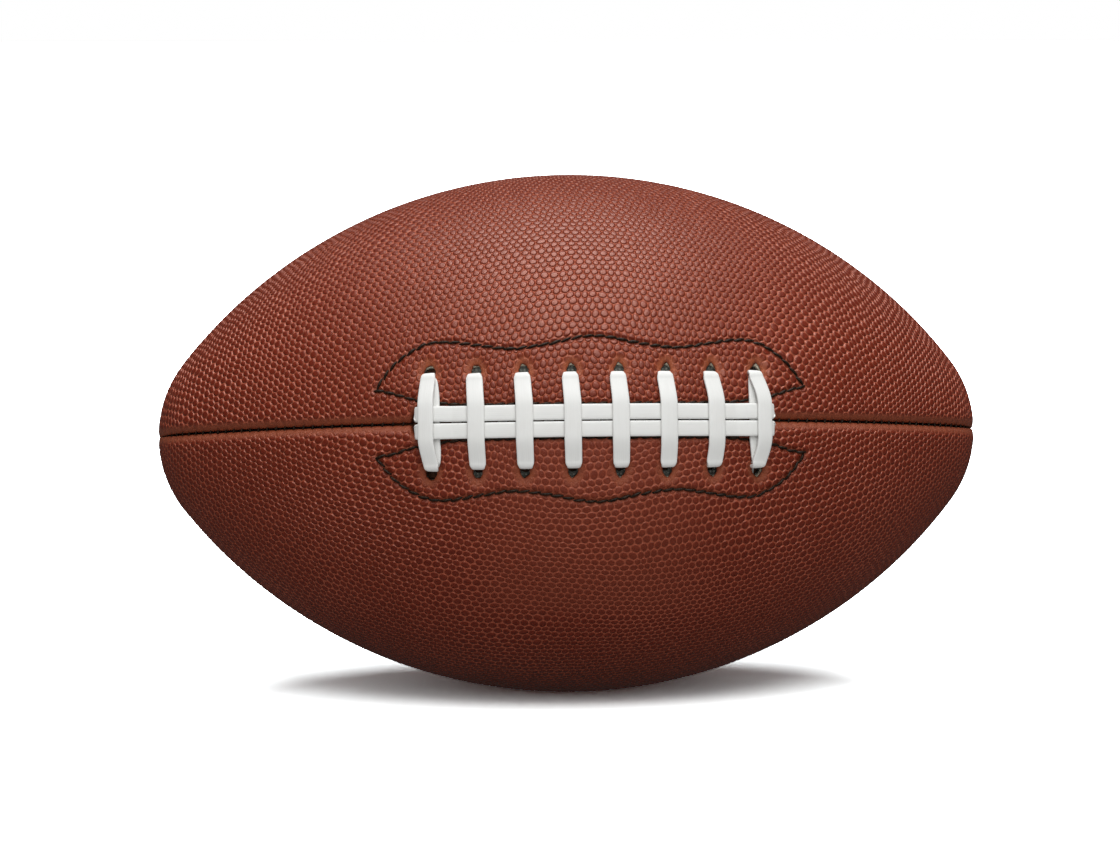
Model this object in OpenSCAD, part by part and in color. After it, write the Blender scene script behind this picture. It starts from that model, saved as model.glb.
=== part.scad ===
// American football, lying on its side with its laces to the front.
// Four leather panels, each backed with cloth, are sewn edge to edge inside out and then
// turned, so their seam allowances stand inward and their edges roll down into four seams.
// One long lace closes the slot through which the bladder went in.
// X runs along the ball, the laces face -Y and a little up, and the origin is the middle.
// The pieces are drawn with the laces on top, and posed() turns them to the front.

/* [Ball] */
// Length over both points
ball_len = 274; // [264:1:282]
// Diameter round the middle
ball_d = 173; // [166:1:180]
// Radius of each point
tip_r = 39.3; // [34:0.1:46]
// Angle by which the laces are turned up from level
lace_roll = 8.6; // [0:0.2:30]

/* [Panels and linings] */
// Thickness of the leather
leather_t = 1.6; // [1.2:0.1:2]
// Width of the gap between two panels in a seam
seam_gap = 0.5; // [0.4:0.1:0.7]
// Radius of the rolled edge beside a seam
roll_r = 1.7; // [1.2:0.1:2.2]
// Depth of the seam allowance below the leather
fold_depth = 3.9; // [3:0.1:5]
// Thickness of the cloth lining
lining_t = 1; // [0.6:0.1:1.4]

/* [Lace] */
// Width of the lace
lace_w = 5; // [4:0.1:5.6]
// Thickness of the lace
lace_t = 1.1; // [0.8:0.1:1.4]
// Distance between two strips, along the seam
lace_pitch = 15.1; // [13:0.1:16]
// Distance from the seam to the middle of a lace hole
hole_y = 15.6; // [14.5:0.1:18]
// Diameter of a lace hole
hole_d = 5.4; // [4.6:0.1:5.8]
// Width of the slot under the lace
slot_w = 7.2; // [7:0.1:8.4]
// Distance from the last hole to the end of the slot
slot_past = 6.1; // [5.6:0.1:6.8]

/* [Facings] */
// Thickness of the facing under a lace edge
facing_t = 1.1; // [0.7:0.1:1.5]
// Distance from the lace holes to the top of a facing's middle lobe
lobe_past = 10.4; // [9:0.1:14]
// Distance from the end of the slot to a facing's pointed end
point_past = 10.5; // [9:0.1:14]
// Margin of the facing outside its stitch row
facing_margin = 3; // [1.5:0.1:4]
// Diameter of the stitching thread
thread_d = 0.6; // [0.4:0.05:0.7]

/* [Bladder and tongue] */
// Thickness of the tongue between lace and bladder
tongue_t = 0.9; // [0.6:0.1:1.4]
// Distance by which the tongue's sides run past the lace holes
tongue_side = 6; // [4:0.5:10]
// Distance by which the tongue's ends run past the slot
tongue_past = 4; // [2:0.5:8]
// Wall of the bladder
bladder_t = 0.8; // [0.6:0.1:1.4]

/* [Valve] */
// Diameter of the valve where it shows in the leather
valve_d = 8.2; // [7:0.2:10]
// Diameter of the valve's flange on the bladder
flange_d = 24; // [18:1:30]
// Thickness of the valve's flange
flange_t = 1; // [0.6:0.1:1.2]
// Diameter of the stem inside the bladder
stem_d = 6.8; // [6:0.2:8]
// Length of the stem below the bladder wall
stem_len = 12; // [8:1:18]
// Diameter of the plug in the valve
plug_d = 4.4; // [3.6:0.1:4.8]
// Length of the plug under its head
plug_len = 9; // [7:0.5:14]
// Diameter of the guide hole for the inflating needle
needle_d = 2; // [1.8:0.1:2.4]
// Depth of the guide hole
needle_depth = 5; // [4:0.5:6]

/* [Hidden] */
$fn = 96;

// Colours
leather_color = [0.42, 0.17, 0.11];
lining_color = [0.84, 0.80, 0.70];
thread_color = [0.07, 0.06, 0.06];
facing_color = [0.25, 0.27, 0.25];
lace_color = [0.93, 0.93, 0.91];
rubber_color = [0.13, 0.13, 0.14];
bladder_color = [0.23, 0.22, 0.22];

// Clearances
ply_gap = 0.1;       // between two plies that lie on each other
lace_gap = 0.45;     // between two passes of the lace
seat_gap = 0.25;     // round the tongue, the bladder and the valve
over = 1;            // by which every cut runs past what it cuts

// Form of the ball: one large arc along each side, and a small one round each point
ball_r = ball_d / 2;
tip_x = ball_len / 2 - tip_r;
side_r = (tip_x * tip_x + ball_r * ball_r - tip_r * tip_r) / (2 * (ball_r - tip_r));
side_c = side_r - ball_r;
join_a = atan(tip_x / side_c);
side_steps = 14;
tip_steps = 6;

// Depths of the plies below the leather's outer face
lining_top = leather_t + ply_gap;
facing_top = lining_top + lining_t + ply_gap;
lace_in_top = facing_top + facing_t + 2 * ply_gap;
fold_end = leather_t + fold_depth;
tongue_top = max(lace_in_top + lace_t + lace_gap, fold_end + ply_gap);
bladder_top = tongue_top + tongue_t + seat_gap;

// A point of the side curve at depth d below the leather's outer face
function side_pt(a, d) = [(side_r - d) * cos(a) - side_c, (side_r - d) * sin(a)];
function tip_pt(a, d) = [(tip_r - d) * cos(a), tip_x + (tip_r - d) * sin(a)];
function half_curve(d) = concat(
    [for (i = [0:side_steps]) side_pt(join_a * i / side_steps, d)],
    [for (i = [1:tip_steps - 1]) tip_pt(join_a + (90 - join_a) * i / tip_steps, d)],
    [[0, ball_len / 2 - d]]);
function whole_curve(d) = let (h = half_curve(d), n = len(h)) concat(
    [for (i = [n - 1:-1:1]) [h[i][0], -h[i][1]]], h);

// Places on the leather: s along the seam from the middle, y across it, h above the leather
function turn(length, radius) = length / radius * 180 / PI;
function seam_radius(s) = side_r * cos(turn(s, side_r)) - side_c;
function surface_pt(s, y, h) = let (a = turn(s, side_r), b = turn(y, seam_radius(s)),
    r = (side_r + h) * cos(a) - side_c) [(side_r + h) * sin(a), r * sin(b), r * cos(b)];
function surface_n(s, y) = let (a = turn(s, side_r), b = turn(y, seam_radius(s)))
    [sin(a), cos(a) * sin(b), cos(a) * cos(b)];
module at_surface(s, y) {
    rotate([-turn(y, seam_radius(s)), 0, 0])
        translate([0, 0, -side_c])
            rotate([0, turn(s, side_r), 0])
                translate([0, 0, side_r]) children();
}

module posed() { rotate([90 - lace_roll, 0, 0]) children(); }
module lower() { mirror([0, 1, 0]) children(); }
module back() { mirror([0, 0, 1]) children(); }
module swapped() { mirror([0, 1, -1]) children(); }

// The ball as a solid whose face lies at depth d, a shell, and one quarter of space
module ball(d) { rotate([0, 90, 0]) rotate_extrude() polygon(whole_curve(d)); }
module quarter(gap) { translate([-ball_len, gap, gap]) cube([2 * ball_len, ball_d, ball_d]); }
module shell(d, t) {
    difference() {
        ball(d);
        ball(d + t);
    }
}

// Sweeps along the seam on top, from angle a1 to a2 of the side, and round both points
module sweep_side(a1, a2) {
    translate([0, 0, -side_c]) rotate([0, -90, 90]) rotate([0, 0, -a2])
        rotate_extrude(angle = a2 - a1) children();
}
tip_lap = 2;
module sweep_tips() {
    for (m = [0, 1]) mirror([m, 0, 0])
        translate([tip_x, 0, 0]) rotate([0, -90, 90]) rotate([0, 0, -90 - tip_lap])
            rotate_extrude(angle = 90 - join_a + 2 * tip_lap) children();
}

// What is cut away above a rolled edge: the corner outside a quarter round, in three flats
roll_steps = 3;
function roll_pt(i) = let (a = 90 * i / roll_steps)
    [-roll_r * (1 - sin(a)), seam_gap / 2 + roll_r * (1 - cos(a))];
roll_start = 2 * roll_pt(0) - roll_pt(1);
roll_end = 2 * roll_pt(roll_steps) - roll_pt(roll_steps - 1);
module roll_profile(r) {
    polygon([for (p = concat([roll_start], [for (i = [1:roll_steps - 1]) roll_pt(i)],
        [roll_end, [over, roll_end[1]], [over, roll_start[1]]])) [r + p[0], -p[1]]]);
}
module roll_cut() {
    sweep_side(-join_a, join_a) roll_profile(side_r);
    sweep_tips() roll_profile(tip_r);
}

// One panel: its skin, its two rolled edges and the seam allowances behind them
module panel_blank() {
    difference() {
        intersection() {
            shell(0, fold_end);
            quarter(seam_gap / 2);
        }
        intersection() {
            ball(leather_t);
            quarter(seam_gap / 2 + leather_t);
        }
        roll_cut();
        swapped() roll_cut();
    }
}
module lining_blank() {
    intersection() {
        shell(lining_top, lining_t);
        quarter(seam_gap / 2 + leather_t + ply_gap);
    }
}

// The slot and the holes under the lace
lace_count = 8;
lace_half = (lace_count - 1) / 2;
function lace_s(i) = (i - lace_half) * lace_pitch;
slot_s = lace_s(lace_count - 1) + slot_past;
slot_x = (side_r) * sin(turn(slot_s, side_r));
module slot_cut() {
    translate([-slot_x, -slot_w / 2, ball_r / 2]) cube([2 * slot_x, slot_w, ball_r]);
}
module lace_holes() {
    depth = lace_in_top + over;
    for (i = [0:lace_count - 1]) at_surface(lace_s(i), hole_y)
        translate([0, 0, -depth]) cylinder(d = hole_d, h = depth + over);
}
// The facings' holes are narrower, so that the lace draws on cloth and not on leather
module facing_holes() {
    depth = lace_in_top + over;
    for (i = [0:lace_count - 1]) {
        paired = i == 0 || i == lace_count - 1;
        at_surface(lace_s(i), paired ? hole_y : tuck_y + tuck_t / 4)
            translate([0, 0, -depth]) cylinder(r = paired ? hole_d / 2 : facing_hole_r,
                h = depth + over);
    }
}
module valve_hole(gap) {
    at_valve() translate([0, 0, ball_r - 2 * fold_end])
        cylinder(d = valve_d + 2 * gap, h = 3 * fold_end);
}

module panel_lace_upper() { color(leather_color) posed() lace_panel(); }
module panel_lace_lower() { color(leather_color) posed() lower() lace_panel(); }
module lace_panel() {
    difference() {
        panel_blank();
        slot_cut();
        lace_holes();
    }
}
module panel_back_upper() {
    color(leather_color) posed() difference() {
        back() panel_blank();
        valve_hole(seat_gap);
    }
}
module panel_back_lower() { color(leather_color) posed() back() lower() panel_blank(); }

module lining_lace_upper() { color(lining_color) posed() lace_lining(); }
module lining_lace_lower() { color(lining_color) posed() lower() lace_lining(); }
module lace_lining() {
    difference() {
        lining_blank();
        slot_cut();
        lace_holes();
    }
}
module lining_back_upper() {
    color(lining_color) posed() difference() {
        back() lining_blank();
        valve_hole(seat_gap);
    }
}
module lining_back_lower() { color(lining_color) posed() back() lower() lining_blank(); }

// Seam threads: they lie at the bottom of the seams, where the two rolled edges part
seam_thread_depth = seam_gap / 2 + thread_d;
seam_thread_a = join_a - turn(over, side_r);
slot_end_a = turn(slot_s + thread_d, side_r);
module seam_thread_profile() { translate([side_r - seam_thread_depth, 0]) circle(d = thread_d); }
module seam_thread(angle) {
    color(thread_color) posed() rotate([angle, 0, 0])
        sweep_side(-seam_thread_a, seam_thread_a) seam_thread_profile();
}
module seam_thread_lace() {
    color(thread_color) posed() for (m = [0, 1]) mirror([m, 0, 0])
        sweep_side(slot_end_a, seam_thread_a) seam_thread_profile();
}
module seam_thread_upper() { seam_thread(-90); }
module seam_thread_back() { seam_thread(180); }
module seam_thread_lower() { seam_thread(90); }

// Outline of a facing's stitch row: shares of lobe_x along the seam, and of lobe_y across it
lobe_shares = [[1, 0.42], [0.9, 0.69], [0.77, 0.91], [0.66, 0.95], [0.52, 0.89], [0.37, 0.83],
    [0.2, 0.9], [0.08, 0.98], [0, 1]];
lobe_y = hole_y + lobe_past;
lobe_x = slot_s + point_past;
inner_y = slot_w / 2 + facing_margin;
inner_shares = [[0.92, 0.08], [0.83, 0.01], [0.6, 0], [0.3, 0]];
function lobe_points(m) = [for (p = lobe_shares)
    [p[0] * (lobe_x + m), p[1] * lobe_y + m * (p[0] == 1 ? 0 : 1)]];
function inner_points(m) = [for (p = inner_shares)
    [p[0] * (lobe_x + m), inner_y - m + p[1] * lobe_y]];
function half_outline(m) = concat([[0, inner_y - m]],
    [for (i = [len(inner_shares) - 1:-1:0]) inner_points(m)[i]], lobe_points(m));
function outline(m) = let (h = half_outline(m), n = len(h)) concat(h,
    [for (i = [n - 2:-1:1]) [-h[i][0], h[i][1]]]);

// Smooth closed curve through points, kept sharp at the two pointed ends
function spline(p0, p1, p2, p3, t) = ((2 * p1) + (p2 - p0) * t
    + (2 * p0 - 5 * p1 + 4 * p2 - p3) * t * t + (3 * p1 - p0 - 3 * p2 + p3) * t * t * t) / 2;
function smooth_loop(p, steps) = let (n = len(p)) [for (i = [0:n - 1], k = [0:steps - 1])
    let (a = abs(p[i][0]) > lobe_x * 0.99, b = abs(p[(i + 1) % n][0]) > lobe_x * 0.99)
    spline(a ? p[i] : p[(i + n - 1) % n], p[i], p[(i + 1) % n],
        b ? p[(i + 1) % n] : p[(i + 2) % n], k / steps)];

// A facing: the strip of coated cloth behind one row of lace holes
module facing() {
    difference() {
        intersection() {
            shell(facing_top, facing_t);
            translate([0, 0, ball_r / 2]) linear_extrude(ball_r)
                polygon([for (p = smooth_loop(outline(facing_margin - ply_gap), 2))
                    let (q = surface_pt(p[0], p[1], -facing_top)) [q[0], q[1]]]);
        }
        facing_holes();
    }
}
module facing_upper() { color(facing_color) posed() facing(); }
module facing_lower() { color(facing_color) posed() lower() facing(); }

// A closed tube through rings of points, and an open one with flat ends
function ring_faces(rings, sides, closed) = [
    for (i = [0:rings - (closed ? 1 : 2)], j = [0:sides - 1])
        let (a = i * sides + j, b = i * sides + (j + 1) % sides,
            c = ((i + 1) % rings) * sides + (j + 1) % sides, d = ((i + 1) % rings) * sides + j)
        each [[a, b, c], [a, c, d]]];
function end_faces(rings, sides) = concat(
    [for (j = [1:sides - 2]) [0, j + 1, j]],
    [for (j = [1:sides - 2]) let (o = (rings - 1) * sides) [o, o + j, o + j + 1]]);

// The stitch row of a facing: pressed flat on the leather, at half the thread's thickness
stitch_sides = 4;
stitch_rise = ply_gap / 2;
stitch_top = stitch_rise + thread_d / 2;
function unit(v) = v / norm(v);
function stitch_rings() = let (p = smooth_loop(outline(0), 2), n = len(p),
    r = thread_d / 2, q = [for (c = p) surface_pt(c[0], c[1], stitch_rise + r / 2)])
    [for (i = [0:n - 1]) let (t = unit(q[(i + 1) % n] - q[(i + n - 1) % n]),
        up = surface_n(p[i][0], p[i][1]), side = unit(cross(up, t)))
        for (j = [0:stitch_sides - 1]) let (a = -360 * (j + 0.5) / stitch_sides)
            q[i] + r * sqrt(2) * (cos(a) * side + sin(a) / 2 * up)];
module facing_stitches() {
    pts = stitch_rings();
    polyhedron(pts, ring_faces(len(pts) / stitch_sides, stitch_sides, true), convexity = 8);
}
module facing_stitches_upper() { color(thread_color) posed() facing_stitches(); }
module facing_stitches_lower() { color(thread_color) posed() lower() facing_stitches(); }

// The lace: one band from tail to tail. Each stop of its route is
// [s, y, h, size across the band's first side, size across its second side, ref_s, ref_h],
// where the second side lies along the reference direction.
lift = ply_gap;
level1 = lift + lace_t / 2;                      // a long run, and a strip beside it
over_level = level1 + lace_t + lace_gap;         // a strip over the long runs
under_level = stitch_top + lift + lace_t / 2;    // the first and last strips, underneath
run_level = under_level + lace_t + lace_gap;     // a long run over one of those
end_level = run_level + lace_t + lace_gap;       // the end strips over the long runs
level_in = -lace_in_top - lace_t / 2;
run_y = (lace_w + lace_gap) / 2;
tuck_w = hole_d * 0.5;           // the band is gathered to this size in a hole
tuck_t = hole_d * 0.28;
pair_w = hole_d * 0.31;          // and to this where two passes share a hole
pair_s = (pair_w + lace_gap + ply_gap) / 2;
// It is drawn towards the seam, until its corners meet the side of the hole
function drawn_in(half_w, half_t) =
    sqrt(pow(hole_d / 2 - 2 * ply_gap, 2) - half_w * half_w) - half_t;
tuck_y = hole_y - drawn_in(tuck_w / 2, tuck_t / 2);
pair_y = hole_y - drawn_in(pair_s + pair_w / 2, pair_w / 2);
facing_hole_r = norm([tuck_w / 2, tuck_t * 0.75]) + ply_gap;
slit_w = (slot_w - lace_gap) / 2 - 2 * ply_gap - seat_gap;
slit_y = (slit_w + lace_gap) / 2 + ply_gap;
slit_t = lace_t * 1.15;
slit_s = slot_s - seat_gap - slit_t / 2;
end_bow = lace_w * 0.16;
under_bow = lace_w * 0.12;
in_w = lace_w * 0.56;
edge_y = run_y + lace_w / 2;

// A strip from the upper hole over to the lower one; two shares shape it
// [share of the way from the long runs' edge to the hole, share of the full height]
slope_shares = [[0, 1], [0.3, 0.72], [0.62, 0.28], [0.84, 0.04]];
function strip_half(s0, so, sb, yh, wh, th, hc, hh, ref) = concat(
    [[s0 + so, yh, -leather_t * 1.9, th, wh, ref, 0],
    [s0 + so, yh, -leather_t * 0.6, th, wh, ref, 0],
    [s0 + so, yh - lace_t * 0.15, hh - level1 * 0.55, (th + lace_t) / 2, wh, ref, 0],
    [s0 + so, yh - lace_t * 0.85, hh, lace_t, wh + (lace_w - wh) * (so == 0 ? 0.35 : 0.08),
        ref, 0]],
    [for (k = [len(slope_shares) - 1:-1:0]) let (p = slope_shares[k],
        y = edge_y + lace_t / 2 + p[0] * (yh - edge_y - lace_t), f = p[0])
        [s0 + so * pow(f, 3) + sb * (1 - pow(f, 3)), y, hh + (hc - hh) * p[1], lace_t,
            lace_w - (lace_w - wh) * (so == 0 ? 0.45 : 0.8) * pow(f, so == 0 ? 8 : 3), ref, 0]],
    [[s0 + sb, edge_y * 0.5, hc, lace_t, lace_w, ref, 0]]);
function across(p) = [p[0], -p[1], p[2], p[3], p[4], p[5], p[6]];
function backward(l) = [for (i = [len(l) - 1:-1:0]) l[i]];
function strip(s0, so, sb, yh, wh, th, hc, hh, ref) =
    let (h = strip_half(s0, so, sb, yh, wh, th, hc, hh, ref))
    concat(h, [[s0 + sb, 0, hc, lace_t, lace_w, ref, 0]], backward([for (p = h) across(p)]));

// A long run beside the seam on side m, from the left end of the slot to the right one
last_s = lace_s(lace_count - 1);
run_steps = 7;
function run_end(m, e) = [
    [e * slit_s, m * slit_y, -leather_t * 1.8, slit_w, slit_t, e, 0],
    [e * slit_s, m * slit_y, -leather_t * 0.5, slit_w, slit_t, e, 0],
    [e * slit_s, m * (slit_y + seat_gap / 4), level1 * 0.8, slit_w + seat_gap / 2, slit_t, e, 0],
    [e * (slit_s - lace_t * 0.08), m * run_y * 0.95, run_level * 0.6, lace_w * 0.9, lace_t, e, 0.2],
    [e * (slit_s - lace_t * 0.5), m * run_y, run_level * 0.9, lace_w * 0.98, lace_t, e, 1],
    [e * (slit_s - lace_t * 1.5), m * run_y, run_level, lace_w, lace_t, 0, 1],
    [e * (last_s - lace_w * 0.2), m * run_y, run_level, lace_w, lace_t, 0, 1],
    [e * (last_s - lace_w * 0.66), m * run_y, run_level, lace_w, lace_t, 0, 1],
    [e * (last_s - lace_w * 1.05), m * run_y, (level1 + run_level) / 2, lace_w, lace_t, 0, 1],
    [e * (last_s - lace_w * 1.45), m * run_y, level1, lace_w, lace_t, 0, 1]];
run_mid_s = last_s - lace_w * 1.9;
function run(m) = concat(run_end(m, -1),
    [for (k = [0:run_steps]) [run_mid_s * (2 * k / run_steps - 1), m * run_y, level1,
        lace_w, lace_t, 0, 1]],
    backward(run_end(m, 1)));

// Inside passes, between the facings and the tongue
function dip(s, y, m, w, ref) = [[s, y - m * lace_t * 0.1, -lace_in_top - ply_gap,
    lace_t, w, ref, 0], [s, y - m * lace_t * 1.8, level_in - 2 * ply_gap, lace_t * 0.9, w, ref, 0]];
function inside(s0, y0, w0, s1, y1, w1, ref) = concat(dip(s0, y0, -1, w0, ref),
    [[s0 * 0.7 + s1 * 0.3, y0 * 0.45, level_in, lace_t, in_w, ref, 0],
    [s0 * 0.3 + s1 * 0.7, y1 * 0.45, level_in, lace_t, in_w, ref, 0]],
    backward(dip(s1, y1, 1, w1, ref)));
function slit_dip(e, m) = [
    [e * slit_s, m * (slit_y + lace_t * 0.3), -lace_in_top, lace_t * 1.6, lace_t * 1.3, e, 0],
    [e * slit_s, m * (slit_y + lace_t * 2), level_in - ply_gap, lace_t, lace_t * 1.6, e, 0]];
function slit_to_hole(e, m) = concat(slit_dip(e, m),
    [[e * (slit_s * 0.55 + (last_s + pair_s) * 0.45), m * pair_y * 0.6, level_in, lace_t,
        pair_w * 1.2, e, 0]],
    backward(dip(e * (last_s + pair_s), m * pair_y, m, pair_w, e)));
tail_len = lace_w * 1.9;

// Route: in at the left, along the lower run, under the last strip, back along the upper
// run, under the first strip, then over all eight strips from left to right
lace_route = concat(
    [[-slit_s - lace_w * 0.75, -slit_y - tail_len, level_in, lace_t, in_w, -1, 0],
    [-slit_s - lace_w * 0.4, -slit_y - tail_len / 2, level_in, lace_t, in_w * 0.8, -1, 0]],
    backward(slit_dip(-1, -1)),
    run(-1),
    slit_to_hole(1, -1),
    backward(strip(last_s, pair_s, -under_bow, pair_y, pair_w, pair_w, under_level,
        under_level, 1)),
    backward(slit_to_hole(1, 1)),
    backward(run(1)),
    slit_to_hole(-1, 1),
    strip(-last_s, -pair_s, under_bow, pair_y, pair_w, pair_w, under_level, under_level, -1),
    inside(-last_s - pair_s, -pair_y, pair_w, -last_s + pair_s, pair_y, pair_w, -1),
    strip(-last_s, pair_s, -end_bow, pair_y, pair_w, pair_w, end_level, run_level, -1),
    [for (i = [1:lace_count - 2]) each concat(
        inside(lace_s(i - 1) + (i == 1 ? pair_s : 0), i == 1 ? -pair_y : -tuck_y,
            i == 1 ? pair_w : tuck_w, lace_s(i), tuck_y, tuck_w, -1),
        strip(lace_s(i), 0, 0, tuck_y, tuck_w, tuck_t, over_level, level1, -1))],
    inside(lace_s(lace_count - 2), -tuck_y, tuck_w, last_s - pair_s, pair_y, pair_w, -1),
    strip(last_s, -pair_s, end_bow, pair_y, pair_w, pair_w, end_level, run_level, -1),
    [[last_s - pair_s, -pair_y - lace_t * 0.2, -lace_in_top + lace_t * 0.1, lace_t * 1.2,
        pair_w, -1, 0],
    [last_s - pair_s, -pair_y - lace_t * 1.6, level_in, lace_t, pair_w, -1, 0],
    [last_s - pair_s, -pair_y - tail_len, level_in, lace_t, in_w, -1, 0]]);

lace_sides = 8;
corner_share = 0.28;
function band_ring(c, t, ref, d1, d2) = let (b2 = unit(ref - (ref * t) * t), b1 = cross(t, b2),
    k = min(d1, d2) * corner_share, u = d1 / 2, v = d2 / 2)
    [for (p = [[u, v - k], [u - k, v], [k - u, v], [-u, v - k], [-u, k - v], [k - u, -v],
        [u - k, -v], [u, k - v]]) c + p[0] * b1 + p[1] * b2];
function lace_stops() = lace_route;
function lace_rings() = let (r = lace_stops(), n = len(r),
    q = [for (p = r) surface_pt(p[0], p[1], p[2])])
    [for (i = [0:n - 1]) let (t = unit(q[min(i + 1, n - 1)] - q[max(i - 1, 0)]),
        nrm = surface_n(r[i][0], r[i][1]), along = unit(cross([0, 1, 0], nrm)))
        band_ring(q[i], t, r[i][5] * along + r[i][6] * nrm, r[i][3], r[i][4])];
module lace() {
    rings = lace_rings();
    n = len(rings);
    near = [for (i = [0:n - 1], j = [i + 6:1:n - 1])
        if (norm(rings[i][0] - rings[j][0]) < 2 * lace_w)
            min([for (a = rings[i], b = rings[j]) norm(a - b)])];
    echo(least_gap_of_the_lace_to_itself = min(near), rings = n);
    color(lace_color) posed() polyhedron([for (r = rings) each r],
        concat(ring_faces(n, lace_sides, false), end_faces(n, lace_sides)), convexity = 10);
}

// The tongue: a leather pad between the lace and the bladder
module tongue() {
    x = slot_s + tongue_past;
    y = hole_y + tongue_side;
    c = y / 3;
    color(leather_color) posed() intersection() {
        shell(tongue_top, tongue_t);
        translate([0, 0, ball_r / 2]) linear_extrude(ball_r)
            polygon([[x - c, -y], [x, c - y], [x, y - c], [x - c, y],
                [c - x, y], [-x, y - c], [-x, c - y], [c - x, -y]]);
    }
}

// The valve sits in the middle of the upper back panel, square to the leather
valve_angle = 135;
valve_sink = ply_gap * 4;
valve_top = ball_r - valve_sink;
collar_len = bladder_top + bladder_t + seat_gap;
plug_head_d = (valve_d + plug_d) / 2;
plug_head_t = leather_t * 0.6;
air_d = needle_d * 0.8;
module at_valve() { rotate([-valve_angle, 0, 0]) children(); }
module bladder() {
    color(bladder_color) posed() difference() {
        shell(bladder_top, bladder_t);
        valve_hole(seat_gap);
    }
}
module valve_body() {
    color(rubber_color) posed() difference() {
        union() {
            intersection() {
                shell(bladder_top - seat_gap - flange_t, flange_t);
                at_valve() cylinder(d = flange_d, h = ball_d);
            }
            at_valve() translate([0, 0, ball_r - collar_len])
                cylinder(d = valve_d, h = collar_len - valve_sink);
            at_valve() translate([0, 0, ball_r - collar_len - stem_len])
                cylinder(d = stem_d, h = stem_len + bladder_t);
        }
        at_valve() translate([0, 0, valve_top - plug_head_t - ply_gap])
            cylinder(d = plug_head_d + 2 * ply_gap, h = plug_head_t + ply_gap + over);
        at_valve() translate([0, 0, valve_top - plug_head_t - plug_len - ply_gap])
            cylinder(d = plug_d + 2 * ply_gap, h = plug_len + plug_head_t);
        at_valve() translate([0, 0, ball_r - collar_len - stem_len - over])
            cylinder(d = air_d, h = stem_len + collar_len);
    }
}
module valve_plug() {
    color(rubber_color) posed() at_valve() difference() {
        union() {
            translate([0, 0, valve_top - plug_head_t]) cylinder(d = plug_head_d, h = plug_head_t);
            translate([0, 0, valve_top - plug_head_t - plug_len])
                cylinder(d = plug_d, h = plug_len + plug_head_t / 2);
        }
        translate([0, 0, valve_top - needle_depth]) cylinder(d = needle_d, h = needle_depth + over);
    }
}

panel_lace_upper();
panel_lace_lower();
panel_back_upper();
panel_back_lower();
lining_lace_upper();
lining_lace_lower();
lining_back_upper();
lining_back_lower();
seam_thread_lace();
seam_thread_upper();
seam_thread_back();
seam_thread_lower();
facing_upper();
facing_lower();
facing_stitches_upper();
facing_stitches_lower();
lace();
tongue();
bladder();
valve_body();
valve_plug();
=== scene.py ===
import math
import bpy
import numpy as np
from mathutils import Matrix, Vector


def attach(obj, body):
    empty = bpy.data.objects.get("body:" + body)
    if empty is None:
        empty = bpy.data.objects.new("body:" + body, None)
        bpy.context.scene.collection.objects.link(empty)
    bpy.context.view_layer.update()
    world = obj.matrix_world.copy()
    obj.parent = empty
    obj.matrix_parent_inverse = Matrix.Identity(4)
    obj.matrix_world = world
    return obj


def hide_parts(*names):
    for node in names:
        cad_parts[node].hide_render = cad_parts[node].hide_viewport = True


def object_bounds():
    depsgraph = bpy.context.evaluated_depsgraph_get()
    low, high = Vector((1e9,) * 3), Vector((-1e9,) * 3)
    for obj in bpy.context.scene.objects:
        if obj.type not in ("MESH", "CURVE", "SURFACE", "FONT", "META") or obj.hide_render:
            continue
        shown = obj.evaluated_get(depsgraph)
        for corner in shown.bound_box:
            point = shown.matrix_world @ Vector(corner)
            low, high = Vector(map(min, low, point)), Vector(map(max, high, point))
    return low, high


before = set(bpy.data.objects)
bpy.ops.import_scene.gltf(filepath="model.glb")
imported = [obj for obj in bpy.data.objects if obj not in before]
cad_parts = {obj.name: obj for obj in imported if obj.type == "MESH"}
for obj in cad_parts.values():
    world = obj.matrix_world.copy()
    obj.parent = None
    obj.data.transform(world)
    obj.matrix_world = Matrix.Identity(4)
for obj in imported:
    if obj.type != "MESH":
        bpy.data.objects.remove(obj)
cad_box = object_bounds()


# ---- Camera ----
# The ball is photographed from a little left of its middle and a little above, through a
# long lens about 1.4 m away. The picture is 1120 pixels wide and 842 high.
PICTURE_WIDTH = 1120
AZIMUTH = math.radians(-5.778)
ELEVATION = math.radians(5.737)
DISTANCE = 1.4163
AIM_RIGHT, AIM_UP = -0.00291, 0.00412  # how far the view is aimed beside the middle
FOCAL_PIXELS = 4224.8
SENSOR_WIDTH = 36


def new_object(name, data):
    item = bpy.data.objects.new(name, data)
    bpy.context.scene.collection.objects.link(item)
    return item


back = Vector((math.sin(AZIMUTH) * math.cos(ELEVATION),
               -math.cos(AZIMUTH) * math.cos(ELEVATION), math.sin(ELEVATION)))
right = Vector((0, 0, 1)).cross(back).normalized()
up = back.cross(right)
camera = new_object("camera", bpy.data.cameras.new("camera"))
camera.data.sensor_width = SENSOR_WIDTH
camera.data.lens = FOCAL_PIXELS / PICTURE_WIDTH * SENSOR_WIDTH
camera.data.clip_start, camera.data.clip_end = 0.05, 30
camera.matrix_world = Matrix((right, up, back)).transposed().to_4x4()
camera.location = back * DISTANCE + right * AIM_RIGHT + up * AIM_UP
bpy.context.scene.camera = camera


# ---- Inner pieces ----
# A rubber bladder holds the air, with a rubber valve in its wall. Cotton cloth is sewn behind
# each panel, and a strip of coated cloth behind each row of lace holes. All keep the shapes
# of the frame and get their cloth and rubber here.
def add(tree, kind, inputs=None, **settings):
    """Adds a node. Inputs are numbers, colours or the sockets that feed them."""
    node = tree.nodes.new(kind)
    for key, value in settings.items():
        setattr(node, key, value)
    for key, value in (inputs or {}).items():
        if isinstance(value, bpy.types.NodeSocket):
            tree.links.new(value, node.inputs[key])
        else:
            node.inputs[key].default_value = value
    return node


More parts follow.
